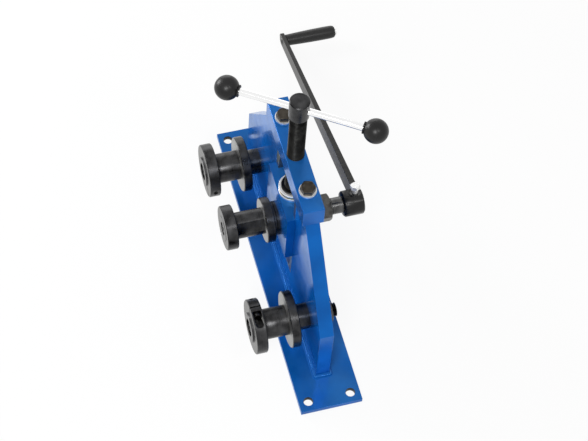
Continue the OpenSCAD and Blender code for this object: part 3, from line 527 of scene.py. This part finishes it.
smallPieces = {
    # node: piece, material
    "top_bar_washers": ("topBarWashers", zincPlate),
    "back_plate_screws": ("backPlateScrews", screwBlack),
    "front_bush": ("frontBush", blackedSteel["middle"]),
    "rear_bush": ("rearBush", bushBronze["middle"]),
    "lower_race": ("lowerRace", bearingSteel),
    "upper_race": ("upperRace", bearingSteel),
    "neck_grub_screw": ("neckGrubScrew", screwBlack),
    "thrust_cage": ("thrustCage", cageBrass),
    "thrust_balls": ("thrustBalls", bearingSteel),
    "thrust_collar": ("thrustCollar", blackedSteel["spindle"]),
    "tommy_bar": ("tommyBar", chromeRod),
    "middle_key": ("middleKey", zincPlate),
    "middle_end_washer": ("middleEndWasher", nutBlack),
    "middle_end_screw": ("middleEndScrew", screwBlack),
    "front_ring": ("frontRing", blackedSteel["middle"]),
    "rear_ring": ("rearRing", blackedSteel["middle"]),
    "shaft_washer": ("shaftWasher", zincPlate),
    "crank_hub": ("crankHub", hubBlack),
    "hub_key": ("hubKey", zincPlate),
    "hub_grub_screw": ("hubGrubScrew", screwBlack),
    "grip_washer": ("gripWasher", zincPlate),
}
for node, (name, material) in smallPieces.items():
    keepPiece(name, bareSolid(node), node, [material])
# the pin is dark where it is riveted to the arm and bright at the grip's outer end
pinBrightFrom = 170 * mm
keepPiece("gripPin", bareSolid("grip_pin"), "grip_pin", [litArmSteel, zincPlate],
          lambda face: 1 if face.center.x > pinBrightFrom else 0)
print("small pieces made")


# node trees that make what repeats

def newTree(name, sizes):
    # a tree with a named input for each size and one for the material
    tree = bpy.data.node_groups.new(name, "GeometryNodeTree")
    for size in sizes:
        tree.interface.new_socket(size, in_out="INPUT", socket_type="NodeSocketFloat")
    tree.interface.new_socket("Finish", in_out="INPUT", socket_type="NodeSocketMaterial")
    tree.interface.new_socket("Geometry", in_out="OUTPUT", socket_type="NodeSocketGeometry")
    return tree, tree.nodes.new("NodeGroupInput").outputs


def endTree(tree, geometry, finish):
    real = addNode(tree, "GeometryNodeRealizeInstances", None, {"Geometry": geometry})
    finished = addNode(tree, "GeometryNodeSetMaterial", None, {"Geometry": real, "Material": finish})
    addNode(tree, "NodeGroupOutput", None, {"Geometry": finished})
    return tree


def nodesToMesh(name, tree, values):
    # runs the node tree once and keeps its result as a plain mesh
    carrier = bpy.data.objects.new(name + "Carrier", bpy.data.meshes.new(name + "Carrier"))
    scene.collection.objects.link(carrier)
    modifier = carrier.modifiers.new("shape", "NODES")
    modifier.node_group = tree
    for item in tree.interface.items_tree:
        if item.in_out == "INPUT":
            modifier[item.identifier] = values[item.name]
    graph = bpy.context.evaluated_depsgraph_get()
    mesh = bpy.data.meshes.new_from_object(carrier.evaluated_get(graph))
    bpy.data.objects.remove(carrier)
    return mesh


# screw threads

def makeThreadTree():
    # a ridge wound along Z: its own helix, given a four-sided section with one corner outwards
    tree, given = newTree("threadRidge", ("Radius", "Length", "Turns", "Ridge"))
    helix = addNode(tree, "GeometryNodeCurveSpiral", None, {
        "Resolution": 30, "Rotations": given["Turns"], "Start Radius": given["Radius"],
        "End Radius": given["Radius"], "Height": given["Length"],
    })
    level = addNode(tree, "GeometryNodeSetCurveNormal", {"mode": "Z_UP"}, {"Curve": helix})
    section = addNode(tree, "GeometryNodeCurvePrimitiveCircle", None, {
        "Resolution": 4, "Radius": given["Ridge"],
    })
    ridge = addNode(tree, "GeometryNodeCurveToMesh", None, {
        "Curve": level, "Profile Curve": section, "Fill Caps": True,
    })
    return endTree(tree, ridge, given["Finish"])


threads = {
    # node: piece, axis, start and end along the axis, outer radius, depth and pitch in mm
    "spindle": ("spindleScrew", "spindle", 214, 378, 12, 0.9, 3),
    "near_axle": ("nearAxle", "near", 13, 30.9, 10, 0.9, 2.5),
    "far_axle": ("farAxle", "far", 13, 30.9, 10, 0.9, 2.5),
    "drive_shaft": ("driveShaft", "middle", 34, 60, 12, 0.8, 2),
}
threadLook = {
    "plainEnd": 0.4 * mm,  # ring left plain at each end of a thread
    "sink": 1.25,  # the ridge's section is this much larger than the thread's depth, to root in the core
}
threadTree = makeThreadTree()


def turnDown(work, centre, away, low, high, outer, core):
    # takes the solid's outside down to the thread's core between two places along the axis
    for vert in work.verts:
        along = (vert.co - centre).dot(away)
        radial = vert.co - centre - away * along
        onOutside = abs(radial.length - outer) < outsideWithin
        if onOutside and low - placeWithin < along < high + placeWithin:
            vert.co = centre + away * along + radial.normalized() * core


for node, (name, axis, *sizes) in threads.items():
    start, end, outer, depth, pitch = [size * mm for size in sizes]
    direction, centre = axes[axis]
    away = Vector((0, 0, 1)) if direction == "Z" else Vector((1, 0, 0))
    low, high = start + threadLook["plainEnd"], end - threadLook["plainEnd"]
    work = bareSolid(node)
    for cutAt in (start, low, high, end):
        cutAcross(work, centre + away * cutAt, away)
    turnDown(work, centre, away, low, high, outer, outer - depth)
    ridge = nodesToMesh(name, threadTree, {
        "Radius": outer - depth / 2, "Length": high - low - depth, "Turns": (high - low - depth) / pitch,
        "Ridge": depth / 2 * threadLook["sink"], "Finish": blackedSteel[axis],
    })
    laid = Matrix.Identity(4) if direction == "Z" else alongX
    ridge.transform(Matrix.Translation(centre + away * (low + depth / 2)) @ laid)
    work.from_mesh(ridge)
    bmesh.ops.recalc_face_normals(work, faces=work.faces)
    # the spindle's head is cleaner than its thread
    steels = {"drive_shaft": [shaftSteel], "spindle": [blackedSteel[axis], screwThread]}
    keepPiece(name, work, node, steels.get(node, [blackedSteel[axis]]),
              lambda face: 1 if node == "spindle" and face.center.z < end else 0, sharp=25)
print("threads made")


# bolts and nuts

hexLook = {
    "crown": 0.97,  # radius of the flat left on a head, as a share of half its width
    "slope": 30,  # degrees at which the corners are turned off
    "boreEdge": 0.4 * mm,
    "steps": 8,  # points along each side
}


def addHexagon(work, place, flats, height, bore=0.0, crowns=(False, True)):
    # hexagon standing on Z; crowns says whether the corners of its lower and upper end are turned off
    half = flats / 2
    count = hexLook["steps"] * 6
    angles = [2 * math.pi * i / count for i in range(count)]
    corner = [half / math.cos((a + math.pi / 6) % (math.pi / 3) - math.pi / 6) for a in angles]
    crown = half * hexLook["crown"]
    drops = [(r - crown) * math.tan(math.radians(hexLook["slope"])) for r in corner]
    rings = []
    if crowns[0]:
        rings.append([(crown, 0)] * count)
    rings.append([(r, d if crowns[0] else 0) for r, d in zip(corner, drops)])
    rings.append([(r, height - (d if crowns[1] else 0)) for r, d in zip(corner, drops)])
    if crowns[1]:
        rings.append([(crown, height)] * count)
    if bore:
        edge = hexLook["boreEdge"]
        rings = [[(bore + edge, 0)] * count] + rings + [[(bore + edge, height)] * count]
        rings += [[(bore, height - edge)] * count, [(bore, edge)] * count]
    loops = [[work.verts.new(place @ Vector((r * math.cos(a), r * math.sin(a), z)))
              for a, (r, z) in zip(angles, ring)] for ring in rings]
    for low, high in list(zip(loops, loops[1:])) + ([(loops[-1], loops[0])] if bore else []):
        for i in range(count):
            j = (i + 1) % count
            work.faces.new((low[i], low[j], high[j], high[i]))
    if not bore:
        work.faces.new(list(reversed(loops[0])))
        work.faces.new(loops[-1])


def addTurning(work, place, profile, count=64, swell=None):
    # spins a profile of (along, radius) about Z; swell changes the radius round the axis
    loops = []
    for index, (along, radius) in enumerate(profile):
        if radius == 0:
            loops.append([work.verts.new(place @ Vector((0, 0, along)))])
            continue
        ring = []
        for i in range(count):
            angle = 2 * math.pi * i / count
            r = radius + (swell(index, angle) if swell else 0)
            ring.append(work.verts.new(place @ Vector((r * math.cos(angle), r * math.sin(angle), along))))
        loops.append(ring)
    for low, high in zip(loops, loops[1:]):
        for i in range(count):
            j = (i + 1) % count
            corners = [low[i % len(low)], low[j % len(low)], high[j % len(high)], high[i % len(high)]]
            work.faces.new([v for k, v in enumerate(corners) if v not in corners[:k]])
    bmesh.ops.recalc_face_normals(work, faces=work.faces)


def addBolt(work, place, look):
    # a head standing on the place, and a plain shank that reaches a little way into it
    addHexagon(work, place, look["flats"], look["height"])
    tip, root = -look["length"], 0.1 * mm
    shank = [(tip, 0), (tip, look["shank"]), (root, look["shank"]), (root, 0)]
    addTurning(work, place, shank, count=32)


barBolts = {
    "flats": 19 * mm,
    "height": 7.5 * mm,
    "shank": 6 * mm,  # radius
    "length": 40 * mm,
    "spread": 62 * mm,  # from the spindle
    "turns": (14, 17),  # how far each head was turned when it came tight, in degrees
}
work = bmesh.new()
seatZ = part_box("top_bar_washers")[1].z
for side, turned in zip((-1, 1), barBolts["turns"]):
    addBolt(work, Matrix.Translation((0, side * barBolts["spread"], seatZ)) @ turn(turned, "Z"), barBolts)
keepPiece("topBarBolts", work, "top_bar_bolts", [boltBrown], sharp=20)

nuts = {
    # node: piece, axis, width across flats, bore radius, taller than the solid by, turned by in degrees
    "shaft_nut": ("shaftNut", "middle", 36 * mm, 12 * mm, 3.5 * mm, -11),
    "near_rear_nut": ("nearRearNut", "near", 30 * mm, 10 * mm, 0, 4),
    "far_rear_nut": ("farRearNut", "far", 30 * mm, 10 * mm, 0, -7),
}
for node, (name, axis, flats, bore, taller, turned) in nuts.items():
    low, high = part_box(node)
    work = bmesh.new()
    place = Matrix.Translation(axes[axis][1] + Vector((low.x, 0, 0))) @ alongX @ turn(turned, "Z")
    addHexagon(work, place, flats, high.x - low.x + taller, bore, (True, True))
    keepPiece(name, work, node, [nutBlack], sharp=20)

armBolt = {
    "flats": 13 * mm,
    "height": 5.5 * mm,
    "shank": 4 * mm,  # radius
    "length": 9.3 * mm,
    "x": 96.15 * mm,  # its place along the shaft
    "seat": 25.2 * mm,  # height of its seat over the shaft's axis
}
work = bmesh.new()
addBolt(work, onCrank @ Matrix.Translation((armBolt["x"], 0, armBolt["seat"])), armBolt)
keepPiece("armClampBolt", work, "arm_clamp_bolt", [zincPlate], sharp=20)
print("bolts and nuts made")


# knobs and grip

knobLook = {
    "radius": 17 * mm,
    "neck": 8.5 * mm,  # radius
    "neckEnd": 17.5 * mm,  # from the ball's centre
    "neckEdge": 0.5 * mm,
    "throat": 0.6 * mm,  # from the end of the neck to the ball
    "bore": 5.05 * mm,  # radius
    "mouth": 0.4 * mm,  # depth of the bore's broken edge
    "socket": 21 * mm,  # depth of the bore
    "rows": 40,  # of the ball
    "root": 0.9,  # the ball starts at this share of the neck's radius
    "flutes": 10,  # on the neck, where it is gripped to screw the knob on
    "fluteDepth": 0.9 * mm,
    "fluted": (4, 5, 6),  # the points of the profile on the outside of the neck
    "spacing": 206 * mm,  # from knob to knob
}


def knobProfile(look):
    # along the bar and radius: the bore, the neck and the ball, from the inside out
    radius, neck, bore, edge = [look[key] for key in ("radius", "neck", "bore", "neckEdge")]
    first = math.asin(neck * look["root"] / radius)
    angles = [first + (math.pi - first) * i / look["rows"] for i in range(look["rows"])]
    ball = [(-radius * math.cos(a), radius * math.sin(a)) for a in angles]
    end = -look["neckEnd"]
    inside = [(end + look["socket"], 0), (end + look["socket"], bore), (end + look["mouth"], bore)]
    outside = [(end, bore + edge), (end, neck - edge), (end + edge, neck)]
    outside.append((ball[0][0] - look["throat"], neck))
    return inside + outside + ball + [(radius, 0)]


def flutedNeck(index, angle):
    deep = knobLook["fluteDepth"] * min(0, math.cos(knobLook["flutes"] * angle))
    return deep if index in knobLook["fluted"] else 0


tommyTurn = turn(rest["tommyAngle"], "Z")
for name, side in (("left", -1), ("right", 1)):
    centre = Vector((rest["tommyOffset"] + side * knobLook["spacing"] / 2, 0, rest["tommyZ"]))
    place = tommyTurn @ Matrix.Translation(centre) @ turn(side * 90, "Y")
    work = bmesh.new()
    addTurning(work, place, knobProfile(knobLook), count=80, swell=flutedNeck)
    keepPiece(name + "Knob", work, name + "_knob", [knobBlack], sharp=40)

gripLook = {
    "throw": 406 * mm,  # from the shaft's axis
    "bore": 4.3 * mm,  # radius
    "swell": ((0, 8.4), (0.006, 8.8), (0.05, 8.9), (0.15, 9.2), (0.3, 9.6), (0.5, 10.0), (0.75, 10.2),
              (0.9, 10.1), (0.96, 9.7), (0.985, 8.8), (1.0, 7.4)),  # share of the length, radius in mm
}
low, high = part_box("crank_grip")
gripLength = high.x - low.x
outside = [(share * gripLength, radius * mm) for share, radius in gripLook["swell"]]
profile = [(0, gripLook["bore"])] + outside + [(gripLength, gripLook["bore"]), (0, gripLook["bore"])]
work = bmesh.new()
place = onCrank @ Matrix.Translation((low.x, gripLook["throw"], 0)) @ alongX
addTurning(work, place, profile, count=56)
bmesh.ops.remove_doubles(work, verts=work.verts, dist=placeWithin)
bmesh.ops.recalc_face_normals(work, faces=work.faces)
keepPiece("crankGrip", work, "crank_grip", [gripBlack], sharp=40)
print("knobs and grip made")


# weld

weldLook = {
    "out": 1.3 * mm,  # how far from the plate's corner the ripples' centres lie, sideways and up
    "step": 1.5 * mm,
    "ripple": 2.8 * mm,  # radius
    "flat": 0.75,  # a ripple's length along the weld, as a share of its width
    "least": 0.9,  # smallest and largest ripple
    "most": 1.1,
    "seed": 7,
}


def makeWeldTree():
    # ripples laid one on the next along the foot of the frame plate
    tree, given = newTree("weldRipples", ("Length", "Width", "Height", "Step", "Ripple"))
    path = addNode(tree, "GeometryNodeCurvePrimitiveQuadrilateral", None, {
        "Width": given["Width"], "Height": given["Length"],
    })
    even = addNode(tree, "GeometryNodeResampleCurve", {"mode": "LENGTH"}, {
        "Curve": path, "Length": given["Step"],
    })
    flat = addNode(tree, "ShaderNodeMath", {"operation": "MULTIPLY"}, (given["Ripple"], weldLook["flat"]))
    scale = addNode(tree, "ShaderNodeCombineXYZ", None, {
        "X": flat, "Y": given["Ripple"], "Z": given["Ripple"],
    })
    ripple = addNode(tree, "GeometryNodeMeshUVSphere", None, {"Segments": 12, "Rings": 8, "Radius": 1.0})
    tangent = addNode(tree, "GeometryNodeInputTangent")
    aligned = addNode(tree, "FunctionNodeAlignRotationToVector", {"axis": "X"}, {"Vector": tangent})
    uneven = addNode(tree, "FunctionNodeRandomValue", {"data_type": "FLOAT"}, {
        2: weldLook["least"], 3: weldLook["most"], "Seed": weldLook["seed"],
    })  # sockets 2 and 3 are its smallest and largest number, and 1 gives the number
    sized = addNode(tree, "ShaderNodeVectorMath", {"operation": "SCALE"}, {
        "Vector": scale, "Scale": uneven.outputs[1],
    })
    row = addNode(tree, "GeometryNodeInstanceOnPoints", None, {
        "Points": even, "Instance": ripple, "Rotation": aligned, "Scale": sized,
    })
    lift = addNode(tree, "ShaderNodeCombineXYZ", None, {"Z": given["Height"]})
    raised = addNode(tree, "GeometryNodeTransform", None, {
        "Geometry": row, "Translation": lift,
    })
    return endTree(tree, raised, given["Finish"])


low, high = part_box("frame_plate")
work = bmesh.new()
work.from_mesh(nodesToMesh("weldRipples", makeWeldTree(), {
    "Length": high.y - low.y + 2 * weldLook["out"], "Width": high.x - low.x + 2 * weldLook["out"],
    "Height": low.z + weldLook["out"], "Step": weldLook["step"], "Ripple": weldLook["ripple"],
    "Finish": blueEnamel,
}))
keepPiece("weldRipples", work, "weld_bead", [blueEnamel], sharp=60, replace=False)
print("weld made")


# stage, lights and camera

stageLook = {
    "floorSize": 14.0,  # metres
    "paper": "#FAFAFA",
    "fibre": 4 * mm,
    "glow": 0.9,  # share of plain white that the eye and the metal see in the paper
    "skyLight": 0.35,  # strength of the world on the object
    "skySeen": 0.6,  # what is added where the eye or the metal sees it
}
lamps = {
    # place, width of the disc in metres, watts
    "keySoftbox": ((-1.0, -1.7, 2.4), 0.9, 40),
    "cameraSoftbox": ((0.5, -1.5, 2.45), 0.5, 8),
    "sideSoftbox": ((-1.4, 1.5, 0.8), 1.0, 26),
    "backWall": ((0.4, 3.0, 0.6), 2.2, 14),
}
cameraLook = {
    # solved from the straight edges of the plates and the circles of the rollers in the photograph
    "turns": (-19.32, 57.34, 4.86),  # azimuth, elevation and roll in degrees
    "target": Vector((9.54, 10.61, 100)) * mm,
    "distance": 2838.15 * mm,
    "sensor": 36,  # width in mm, as the lens is
    "lens": 120.55,
    "clip": (0.1, 50),  # metres
}
white = hexColour("#FFFFFF")


def seenRays(tree):
    # 1 for what the camera sees itself or in a shiny surface
    path = addNode(tree, "ShaderNodeLightPath").outputs
    return addNode(tree, "ShaderNodeMath", {"operation": "MAXIMUM"}, (
        path["Is Camera Ray"], path["Is Glossy Ray"],
    ))


def makeFloor():
    # matt white paper: it shows nearly white to the eye and in the metal, and still takes the shadow
    half = stageLook["floorSize"] / 2
    mesh = bpy.data.meshes.new("paperFloor")
    corners = [(-half, -half, 0), (half, -half, 0), (half, half, 0), (-half, half, 0)]
    mesh.from_pydata(corners, [], [(0, 1, 2, 3)])
    floor = bpy.data.objects.new("paperFloor", mesh)
    scene.collection.objects.link(floor)
    matt = {"Roughness": 0.95, "Specular IOR Level": 0.0}
    material, tree, shader, place = newMaterial("whitePaper", matt)
    fibre = addNode(tree, "ShaderNodeTexNoise", None, {
        "Vector": place, "Scale": 1 / stageLook["fibre"], "Detail": 3.0,
    })
    paper = addNode(tree, "ShaderNodeMix", rgba, {0: fibre, 6: hexColour(stageLook["paper"]), 7: white})
    tree.links.new(paper.outputs[2], shader.inputs["Base Color"])
    glow = addNode(tree, "ShaderNodeEmission", None, {"Color": white, "Strength": 1.0})
    share = addNode(tree, "ShaderNodeMath", {"operation": "MULTIPLY"}, (seenRays(tree), stageLook["glow"]))
    mix = addNode(tree, "ShaderNodeMixShader", None, (share, shader, glow))
    tree.links.new(mix.outputs[0], tree.nodes["Material Output"].inputs["Surface"])
    mesh.materials.append(material)


def makeWorld():
    world = bpy.data.worlds.new("studio")
    scene.world = world
    world.use_nodes = True
    tree = world.node_tree
    sky = tree.nodes["Background"].inputs
    sky["Color"].default_value = white
    strength = addNode(tree, "ShaderNodeMath", {"operation": "MULTIPLY_ADD"}, (
        seenRays(tree), stageLook["skySeen"], stageLook["skyLight"],
    ))
    tree.links.new(strength.outputs[0], sky["Strength"])


def makeLamp(name, place, size, power):
    # a round softbox that faces the middle of the object
    lamp = bpy.data.lights.new(name, "AREA")
    lamp.shape = "DISK"
    lamp.size = size
    lamp.energy = power
    holder = bpy.data.objects.new(name, lamp)
    holder.location = place
    facing = Vector((0, 0, 150 * mm)) - Vector(place)
    holder.rotation_euler = facing.to_track_quat("-Z", "Y").to_euler()
    scene.collection.objects.link(holder)


def makeCamera():
    azimuth, elevation, roll = [math.radians(angle) for angle in cameraLook["turns"]]
    away = Vector((math.sin(azimuth) * math.cos(elevation), -math.cos(azimuth) * math.cos(elevation),
                   math.sin(elevation)))
    right = (-away).cross(Vector((0, 0, 1))).normalized()
    up = right.cross(-away)
    turnedRight = right * math.cos(roll) + up * math.sin(roll)
    turnedUp = up * math.cos(roll) - right * math.sin(roll)
    data = bpy.data.cameras.new("camera")
    data.sensor_width = cameraLook["sensor"]
    data.lens = cameraLook["lens"]
    data.clip_start, data.clip_end = cameraLook["clip"]
    camera = bpy.data.objects.new("camera", data)
    facing = Matrix((turnedRight, turnedUp, away)).transposed().to_4x4()
    camera.matrix_world = Matrix.Translation(cameraLook["target"] + away * cameraLook["distance"]) @ facing
    scene.collection.objects.link(camera)
    scene.camera = camera


makeFloor()
makeWorld()
for name, (place, size, power) in lamps.items():
    makeLamp(name, place, size, power)
makeCamera()
scene.view_settings.view_transform = "Standard"
print("stage made")
